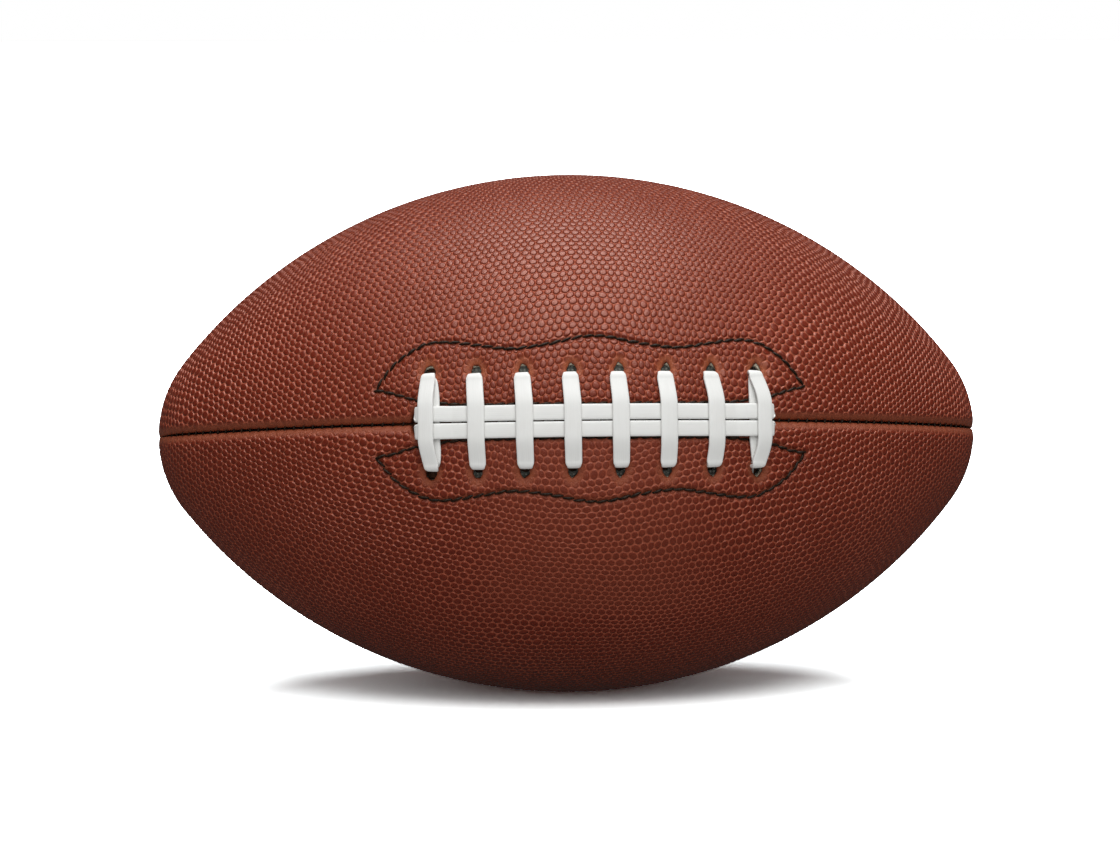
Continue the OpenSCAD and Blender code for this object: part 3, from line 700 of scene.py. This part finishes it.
# The net between the pebbles is lighter than their tops: partly the leather's own second tone,
# partly a painted highlight of light caught on the pebbles' flanks.
valley_tone_and_sheen = blend_colours(tree, blotch, (0.33, 0.069, 0.033, 1), (0.40, 0.090, 0.046, 1))
smooth_skin = blend_colours(tree, ramp_up(tree, fine, 0.35, 0.65), (0.19, 0.037, 0.016, 1),
                            (0.27, 0.060, 0.028, 1))
grained = blend_colours(tree, ramp_up(tree, pebble, 0.2, 0.95), valley_tone_and_sheen, top)
bare = blend_colours(tree, ramp_up(tree, pebbled, 0.0, 0.75), smooth_skin, grained)
rubbed = blend_colours(tree, number_math(tree, "MULTIPLY", attribute(tree, "worn", "Fac"),
                       ramp_up(tree, speckle, 0.25, 0.6)), bare, (0.38, 0.092, 0.034, 1))
tree.links.new(rubbed, shader.inputs["Base Color"])
for socket, low, high in (("Roughness", 0.42, 0.38), ("Specular IOR Level", 0.75, 0.9)):
    part = add(tree, "ShaderNodeMapRange", {"Value": height, "To Min": low, "To Max": high})
    tree.links.new(part.outputs[0], shader.inputs[socket])
wrinkles = add(tree, "ShaderNodeMapRange", {"Value": pebbled,
                                            "To Min": 0.7, "To Max": 0.15}).outputs[0]
bumps = number_math(tree, "MULTIPLY_ADD", fine, wrinkles, height)
finish_bump(tree, shader, bumps, 0.00048)

for name, form in panels.items():
    panel = grown(name + "_leather", panel_mesh(name, **form), relief_tree, leather)
    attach(panel, "root")
    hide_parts(name)


# ---- Stitches ----
# Thick waxed black thread. One closed row of sunk stitches holds each facing behind the
# lace holes, and the seams are held by stitches that cross from panel to panel.
thread = mottled("waxed_thread", (2600, 3), 0.35, 0.7, (0.006, 0.003, 0.0018, 1),
                 (0.040, 0.022, 0.012, 1), 0.00012, Roughness=0.45, Specular_IOR_Level=0.2)


def xyz(tree, **parts):
    return add(tree, "ShaderNodeCombineXYZ", parts).outputs[0]


def stitch_tree(name, **sizes):
    """A stitch on every point: a short arch of thread that sinks in at both ends."""
    tree, given, result = group_sockets(name, **sizes)
    size = given.outputs
    half = number_math(tree, "MULTIPLY", size["Stitch Length"], 0.5)
    sunk = number_math(tree, "MULTIPLY", size["Sink"], -1.0)
    ends = [xyz(tree, X=number_math(tree, "MULTIPLY", half, way), Z=sunk) for way in (-1.0, 1.0)]
    middle = xyz(tree, Z=size["Rise"])
    arch = add(tree, "GeometryNodeCurveQuadraticBezier", {"Resolution": 6, "Start": ends[0],
                                                          "Middle": middle, "End": ends[1]})
    ring = add(tree, "GeometryNodeCurvePrimitiveCircle", {"Resolution": 7,
                                                          "Radius": size["Thread Radius"]})
    share = tree.nodes.new("GeometryNodeSplineParameter").outputs["Factor"]
    rest = number_math(tree, "SUBTRACT", 1.0, share)
    full = number_math(tree, "MULTIPLY", number_math(tree, "MULTIPLY", share, rest), 2.2)
    stitch = add(tree, "GeometryNodeCurveToMesh", {
        "Curve": arch.outputs[0], "Profile Curve": ring.outputs[0], "Fill Caps": True,
        "Scale": number_math(tree, "ADD", full, 0.45)})
    turned = add(tree, "FunctionNodeAxesToRotation", {
        "Primary Axis": named(tree, "outward", "FLOAT_VECTOR"),
        "Secondary Axis": named(tree, "along", "FLOAT_VECTOR")},
        primary_axis="Z", secondary_axis="X")
    sway = add(tree, "FunctionNodeRandomValue", {2: -0.09, 3: 0.09, "Seed": 5}).outputs[1]
    slant = xyz(tree, Z=number_math(tree, "ADD", size["Slant"], sway))
    spin = add(tree, "FunctionNodeEulerToRotation", {"Euler": slant})
    rotation = add(tree, "FunctionNodeRotateRotation", {"Rotation": turned.outputs[0],
                   "Rotate By": spin.outputs[0]}, rotation_space="LOCAL")
    uneven = add(tree, "FunctionNodeRandomValue", {0: (0.9, 0.9, 0.85), 1: (1.06, 1.1, 1.1),
                                                   "Seed": 8}, data_type="FLOAT_VECTOR")
    placed = add(tree, "GeometryNodeInstanceOnPoints", {
        "Points": size["Geometry"], "Instance": stitch.outputs[0],
        "Rotation": rotation.outputs[0], "Scale": uneven.outputs[0]})
    real = add(tree, "GeometryNodeRealizeInstances", {"Geometry": placed.outputs[0]})
    dressed = add(tree, "GeometryNodeSetMaterial", {"Geometry": real.outputs[0],
                                                    "Material": thread})
    tree.links.new(dressed.outputs[0], result.inputs[0])
    return tree


def unit(vectors):
    return vectors / np.linalg.norm(vectors, axis=1)[:, None]


def stitch_points(name, marks, s, angle, h):
    """One point for each stitch, with which way the line runs there and which way is out."""
    def place(share, height):
        return on_ball(*(np.interp(share, np.arange(len(line)), line) for line in (s, angle)),
                       height)

    middles = place(marks, h)
    mesh = bpy.data.meshes.new(name)
    mesh.from_pydata(middles, [], [])
    ways = {"outward": place(marks, h + 1) - middles,
            "along": place(marks + 0.2, h) - place(np.maximum(marks - 0.2, 0), h)}
    for key, way in ways.items():
        keep_attribute(mesh, key, unit(way))
    return mesh


def finish_stitches(name, node, mesh, tree):
    piece = grown(name, mesh, tree, thread)
    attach(piece, "root")
    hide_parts(node)


ROW_HEIGHT = -0.15              # the facings' stitches lie this far below the leather's face, mm
row_tree = stitch_tree("facing stitches", Stitch_Length=0.0046, Thread_Radius=0.00045,
                       Rise=0.0011, Sink=0.0006, Slant=0.17)
seam_tree = stitch_tree("seam stitches", Stitch_Length=0.0026, Thread_Radius=0.00034,
                        Rise=0.0008, Sink=0.0007, Slant=math.pi / 2 - 0.25)
for side, way in (("upper", 1), ("lower", -1)):
    row = np.concatenate([facing_rows[side], facing_rows[side][:1]])
    angle = way * row[:, 1] / meridian(row[:, 0])[1]
    mesh = stitch_points("row_" + side, facing_marks[side], row[:, 0], angle, ROW_HEIGHT)
    node = "facing_stitches_" + side
    finish_stitches(node + "_thread", node, mesh, row_tree)
for side, angle in (("upper", 90), ("back", 180), ("lower", 270)):
    line_s = seam_line_s[False]
    mesh = stitch_points("seam_" + side, seam_marks[False], line_s,
                         np.full(len(line_s), math.radians(angle)), -SEAM_DEPTH)
    finish_stitches("seam_stitches_" + side, "seam_thread_" + side, mesh, seam_tree)
line_s = np.concatenate([-seam_line_s[True][::-1], seam_line_s[True]])
marks = seam_marks[True]
marks = np.concatenate([len(seam_line_s[True]) - 1 - marks[::-1],
                        len(seam_line_s[True]) + marks])
mesh = stitch_points("seam_lace", marks, line_s, np.zeros(len(line_s)), -SEAM_DEPTH)
finish_stitches("seam_stitches_lace", "seam_thread_lace", mesh, seam_tree)


# ---- Lace ----
# One flat lace of woven cloth coated white closes the slot. It comes out of the slot's left
# end, runs to and fro along the seam, and then crosses it at all eight pairs of holes, pulled
# down into each hole. Heights are those of the lace's middle above the leather, in mm.
LACE_WIDTH, LACE_THICK = 5.0, 1.1
LAYER = LACE_THICK + 0.16       # from one layer of the lace to the next, with a gap
RUN_Y, RUN_HEIGHT = 2.68, 0.62  # a long run beside the seam
RUN_END = 9.5                   # length of its end, from the last holes inward
CROSS_HEIGHT = RUN_HEIGHT + LAYER
UNDER_HEIGHT = 0.78             # the lower strip of an end pair
HIGH_RUN_HEIGHT = UNDER_HEIGHT + LAYER
END_HEIGHT = HIGH_RUN_HEIGHT + LAYER
INSIDE_HEIGHT, INSIDE_WIDTH = -4.65, 2.8
TUCK_Y, TUCK_WIDTH, TUCK_THICK = 14.25, 3.8, 1.5  # a strip drawn into a hole
OVER_Y, UNDER_Y, END_WIDTH = 14.45, 13.25, 3.5  # the two layers in an end hole
SLIT_Y, SLIT_WIDTH, SLIT_THICK = 1.79, 2.92, 1.27  # a pass through an end of the slot
SLIT_S = {-1: 57.2, 1: 58.3}
TAIL = 9.5                      # of each end of the lace, inside
END_BOWS = {-1: (0.65, 0.9), 1: (1.5, 0.2)}  # how far the over and under strips bow
CROSS_BOWS = (-0.1, 0, 0, 0, 0.25, 0.8)  # the strips bow more towards the right
CROSS_LEAN = {1: -0.55, -1: 0.25}  # how far their upper and lower ends lie aside
# The same for the over and under strips of the two ends
END_LEANS = {-1: {1: 0.3, -1: 1.0}, 1: {1: -1.1, -1: -0.35}}
UNDER_LEANS = {-1: {1: 0.3, -1: 1.0}, 1: {1: -0.3, -1: 0.5}}
STRIP_WIDTH = 5.5               # of a single cross strip
run_edge = RUN_Y + LACE_WIDTH / 2
last_s = lace_s[-1]


# The lace's route is a list of stops. Each is [place along the seam, across it, height, size
# square to a direction, size along it, and that direction: share along the seam, outward].
def strip(at, bow, lean, full, hole, width, thick, middle, outer, ref):
    """A strip from its upper hole to its lower one. It may lie higher at the seam."""
    def half(side):
        def stop(share, y, h, thick, part):
            aside = lean[side] * (share if h > -0.9 else 0.4)
            return [at + bow * (1 - share ** 2) + aside, side * y, h, thick,
                    width + (full - width) * part, ref, 0]

        far = hole + HOLE_SHIFT[side]
        slope = [stop(share, run_edge + 0.55 + share * (far - run_edge - 1.1),
                      outer + (middle - outer) * rise, LACE_THICK, 1 - 0.1 * share)
                 for share, rise in ((0.84, 0.04), (0.62, 0.28), (0.3, 0.72), (0, 1))]
        return [stop(1, far, -3.0, thick, 0), stop(1, far, -1.0, thick, 0),
                stop(1, far - 0.16, outer - 0.36, (thick + LACE_THICK) / 2, 0.3),
                stop(0.93, far - 0.94, outer, LACE_THICK, 0.8), *slope,
                stop(0, run_edge / 2, middle, LACE_THICK, 1)]

    return half(1) + [[at + bow, 0, middle, LACE_THICK, full, ref, 0]] + half(-1)[::-1]


def level(at, side, height):
    """A stop of a long run where it lies flat."""
    return [at, side * RUN_Y, height, LACE_WIDTH, LACE_THICK, 0, 1]


def run_end(side, end):
    """End of a long run: up out of the slit, over its edge and down beside the seam."""
    y, at, high = side * RUN_Y, SLIT_S[end], HIGH_RUN_HEIGHT
    up = [[end * at, side * (SLIT_Y + out), h, SLIT_WIDTH + 2 * out, SLIT_THICK, end, 0]
          for out, h in ((0, -2.9), (0, -0.8), (0.06, 0.5))]
    over = [[end * (at - 0.1), y * 0.95, high * 0.6, LACE_WIDTH * 0.9, LACE_THICK, end, 0.2],
            [end * (at - 0.55), y, high * 0.9, LACE_WIDTH * 0.98, LACE_THICK, end, 1]]
    down = [level(end * place, side, height) for place, height in (
        (at - 1.65, high), (last_s - 1, high), (last_s - 3.3, high),
        (last_s - 5.2, (RUN_HEIGHT + high) / 2), (last_s - 7.2, RUN_HEIGHT))]
    return up + over + down


def long_run(side):
    inner = last_s - RUN_END
    middle = [level(at, side, RUN_HEIGHT) for at in np.linspace(-inner, inner, 12)]
    return run_end(side, -1) + middle + run_end(side, 1)[::-1]


def dip(at, hole, side, ref):
    """From a hole to the inside, between the facing and the tongue."""
    return [[at, hole - side * 0.11, -4.2, LACE_THICK, INSIDE_WIDTH, ref, 0],
            [at, hole - side * 1.98, INSIDE_HEIGHT - 0.2, LACE_THICK, INSIDE_WIDTH, ref, 0]]


def inside(s0, hole0, s1, hole1):
    """From a lower hole to an upper one, behind the facings."""
    y0, y1 = -hole0 - HOLE_SHIFT[-1], hole1 + HOLE_SHIFT[1]
    between = [[s0 * (1 - f) + s1 * f, y * 0.45, INSIDE_HEIGHT, LACE_THICK, INSIDE_WIDTH, -1, 0]
               for f, y in ((0.3, y0), (0.7, y1))]
    return dip(s0, y0, -1, -1) + between + dip(s1, y1, 1, -1)[::-1]


def slit_dip(end, side):
    at = end * SLIT_S[end]
    return [[at, side * (SLIT_Y + 0.33), -4.1, 1.76, 1.43, end, 0],
            [at, side * (SLIT_Y + 2.2), INSIDE_HEIGHT - 0.1, LACE_THICK, 1.76, end, 0]]


def slit_to_hole(end, side):
    hole = side * (UNDER_Y + HOLE_SHIFT[side])
    middle = [end * (SLIT_S[end] * 0.55 + last_s * 0.45), hole * 0.6, INSIDE_HEIGHT,
              LACE_THICK, INSIDE_WIDTH, end, 0]
    return slit_dip(end, side) + [middle] + dip(end * last_s, hole, side, end)[::-1]


def under_strip(end):
    return strip(end * last_s, -end * END_BOWS[end][1], UNDER_LEANS[end], LACE_WIDTH, UNDER_Y,
                 END_WIDTH, LACE_THICK, UNDER_HEIGHT, UNDER_HEIGHT, end)


def over_strip(end):
    return strip(end * last_s, end * END_BOWS[end][0], END_LEANS[end], LACE_WIDTH, OVER_Y,
                 END_WIDTH, LACE_THICK, END_HEIGHT, HIGH_RUN_HEIGHT, -1)


first_s, tail_y = -SLIT_S[-1], -SLIT_Y - TAIL
lace_route = [[first_s - 3.75, tail_y, INSIDE_HEIGHT, LACE_THICK, INSIDE_WIDTH, -1, 0],
              [first_s - 2, tail_y + TAIL / 2, INSIDE_HEIGHT, LACE_THICK, 2.24, -1, 0]]
lace_route += slit_dip(-1, -1)[::-1] + long_run(-1) + slit_to_hole(1, -1)
lace_route += under_strip(1)[::-1]
lace_route += slit_to_hole(1, 1)[::-1] + long_run(1)[::-1] + slit_to_hole(-1, 1)
lace_route += under_strip(-1)
lace_route += inside(-last_s, UNDER_Y, -last_s, OVER_Y) + over_strip(-1)
before_y = OVER_Y
for at, bow in zip(lace_s[1:-1], CROSS_BOWS):
    lace_route += inside(at - LACE_PITCH, before_y, at, TUCK_Y)
    lace_route += strip(at, bow, CROSS_LEAN, STRIP_WIDTH, TUCK_Y, TUCK_WIDTH, TUCK_THICK,
                        CROSS_HEIGHT, RUN_HEIGHT, -1)
    before_y = TUCK_Y
lace_route += inside(lace_s[-2], TUCK_Y, last_s, OVER_Y) + over_strip(1)
last_y = -OVER_Y - HOLE_SHIFT[-1]
lace_route += [[last_s, last_y - 0.22, -4, 1.32, INSIDE_WIDTH, -1, 0],
               [last_s, last_y - 1.76, INSIDE_HEIGHT, LACE_THICK, INSIDE_WIDTH, -1, 0],
               [last_s, last_y - TAIL, INSIDE_HEIGHT, LACE_THICK, INSIDE_WIDTH, -1, 0]]


def smooth_line(points, steps):
    """A smooth line through points, and the share of the way of each of its places."""
    t = distances(points, 0.5)
    gap = np.diff(t)[:, None]
    slope = np.diff(points, axis=0) / gap
    bend = (slope[:-1] * gap[1:] + slope[1:] * gap[:-1]) / (gap[:-1] + gap[1:])
    bend = np.concatenate([slope[:1], bend, slope[-1:]])
    share = np.arange((len(points) - 1) * steps + 1) / steps
    i = np.minimum(share.astype(int), len(points) - 2)
    u = (share - i)[:, None]
    line = ((2 * u ** 3 - 3 * u ** 2 + 1) * points[i] + (u ** 3 - 2 * u ** 2 + u) * gap[i] * bend[i]
            + (3 * u ** 2 - 2 * u ** 3) * points[i + 1] + (u ** 3 - u ** 2) * gap[i] * bend[i + 1])
    return line, share


def lace_mesh(route, steps=4, sides=20, squareness=4.0):
    """The lace as one closed band with rounded edges."""
    route = np.array(route, float)
    s, y, h = route[:, :3].T
    angle = y / meridian(s)[1]
    stops = on_ball(s, angle, h) * 1000
    outward = on_ball(s, angle, h + 1) * 1000 - stops
    along = on_ball(s + 0.5, angle, h) * 1000 - on_ball(s - 0.5, angle, h) * 1000
    toward = route[:, 5:6] * along + route[:, 6:7] * outward
    line, share = smooth_line(stops, steps)
    thick, width, *toward = (np.interp(share, np.arange(len(route)), column)
                             for column in np.column_stack([route[:, 3:5], toward]).T)
    toward = np.stack(toward, 1)
    ahead = unit(np.gradient(line, axis=0))
    wide = unit(toward - (toward * ahead).sum(1)[:, None] * ahead)
    flat_way = np.cross(ahead, wide)
    a = np.arange(sides) * 2 * math.pi / sides
    u, v = (np.sign(f) * np.abs(f) ** (2 / squareness) / 2 for f in (np.cos(a), np.sin(a)))
    rings = (line[:, None] + u[None, :, None] * (thick[:, None] * flat_way)[:, None]
             + v[None, :, None] * (width[:, None] * wide)[:, None])
    n = len(rings)
    i, j = np.meshgrid(np.arange(n - 1) * sides, np.arange(sides), indexing="ij")
    k = (j + 1) % sides
    quads = np.stack([i + j, i + sides + j, i + sides + k, i + k], -1).reshape(-1, 4)
    last = (n - 1) * sides
    faces = quads.tolist() + [list(range(sides)), list(range(last, last + sides))[::-1]]
    mesh = bpy.data.meshes.new("lace_band")
    mesh.from_pydata(rings.reshape(-1, 3) / 1000, [], faces)
    way = distances(line)
    # Long runs have their width across the first side, so the wider of the two counts
    wider, sizes = (width >= thick)[:, None], (u * thick[:, None], v * width[:, None])
    over, under = np.where(wider, *sizes[::-1]), np.where(wider, *sizes)
    keep_attribute(mesh, "strand", np.stack([np.broadcast_to(way[:, None], over.shape), over,
                                             under], -1).reshape(-1, 3))
    mesh.shade_smooth()
    return mesh


lace_white, tree, shader = new_material("coated_lace", Roughness=0.5, Specular_IOR_Level=0.4)
strand = attribute(tree, "strand", "Vector")
across = add(tree, "ShaderNodeSeparateXYZ", {0: strand}).outputs[1]
ribs = number_math(tree, "COSINE", number_math(tree, "MULTIPLY", across, 2 * math.pi / 0.62))
stretched = vector_math(tree, "MULTIPLY", strand, (0.12, 2.2, 1.0))[0]
streaks = noise(tree, stretched, 1.0, 3.0)
smudges = ramp_up(tree, object_noise(tree, 140, 3), 0.45, 0.8)
cloth = blend_colours(tree, ramp_up(tree, streaks, 0.3, 0.6), (0.780, 0.783, 0.760, 1),
                      (0.798, 0.801, 0.778, 1))
tree.links.new(blend_colours(tree, number_math(tree, "MULTIPLY", smudges, 0.5), cloth,
                             (0.765, 0.76, 0.73, 1)), shader.inputs["Base Color"])
finish_bump(tree, shader, number_math(tree, "MULTIPLY_ADD", ribs, 0.2, streaks), 0.00002)

lace = new_object("lace_band", lace_mesh(lace_route))
lace.data.materials.append(lace_white)
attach(lace, "root")
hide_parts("lace")


# ---- Tongue ----
# A pad of split leather lies under the lace, with its rough side out. It only shows
# through the slot, and has no pebbles.
split_leather = mottled("split_leather", (900, 4), 0.3, 0.7, (0.10, 0.045, 0.026, 1),
                        (0.19, 0.085, 0.05, 1), 0.0002, Roughness=0.85)
dress(split_leather, "tongue")


# ---- Floor and light ----
# The ball lies on a white table under three wide soft lamps, with a weaker one at the front.
# Neither that one nor the table is mirrored in the leather's gloss.
floor_z = cad_box[0][2]
REACH = 20                      # m from the floor's middle to each side
floor_mesh = bpy.data.meshes.new("floor")
floor_mesh.from_pydata([(-REACH, -REACH, floor_z), (REACH, -REACH, floor_z),
                        (REACH, REACH, floor_z), (-REACH, REACH, floor_z)], [], [(0, 1, 2, 3)])
floor = new_object("floor", floor_mesh)
white, tree, shader = new_material("white_table", Roughness=0.9, Specular_IOR_Level=0.0)
seen = tree.nodes.new("ShaderNodeLightPath").outputs["Is Camera Ray"]
tree.links.new(blend_colours(tree, seen, (0.36, 0.36, 0.36, 1), (3.8, 4.0, 4.04, 1)),
               shader.inputs["Base Color"])
floor_mesh.materials.append(white)
floor.visible_glossy = False


def sun(name, toward, strength, spread, glossy=True):
    """A soft light from one side of the sky, spread over some degrees, mirrored or not."""
    light = bpy.data.lights.new(name, "SUN")
    light.energy, light.angle = strength, math.radians(spread)
    item = new_object(name, light)
    item.rotation_euler = Vector(toward).to_track_quat("Z", "Y").to_euler()
    item.visible_glossy = glossy


for place, height, strength in (("front", 50, 1.18), ("middle", 76, 1.28), ("back", 102, 1.54)):
    angle = math.radians(height)
    sun("overhead_" + place, (0.03, -math.cos(angle), math.sin(angle)), strength, spread=40)
sun("front", (-0.10, -1.0, 0.27), 0.95, spread=70, glossy=False)
world = bpy.data.worlds.new("studio")
bpy.context.scene.world = world
world.use_nodes = True
tree = world.node_tree
soft, seen_white = tree.nodes["Background"], add(tree, "ShaderNodeBackground",
                                                 {"Color": (1, 1, 1, 1), "Strength": 1.0})
soft.inputs["Color"].default_value = (1, 1, 1, 1)
soft.inputs["Strength"].default_value = 0.055
seen = tree.nodes.new("ShaderNodeLightPath").outputs["Is Camera Ray"]
mix = add(tree, "ShaderNodeMixShader", {0: seen, 1: soft.outputs[0], 2: seen_white.outputs[0]})
tree.links.new(mix.outputs[0], tree.nodes["World Output"].inputs["Surface"])
bpy.context.scene.view_settings.view_transform = "Standard"
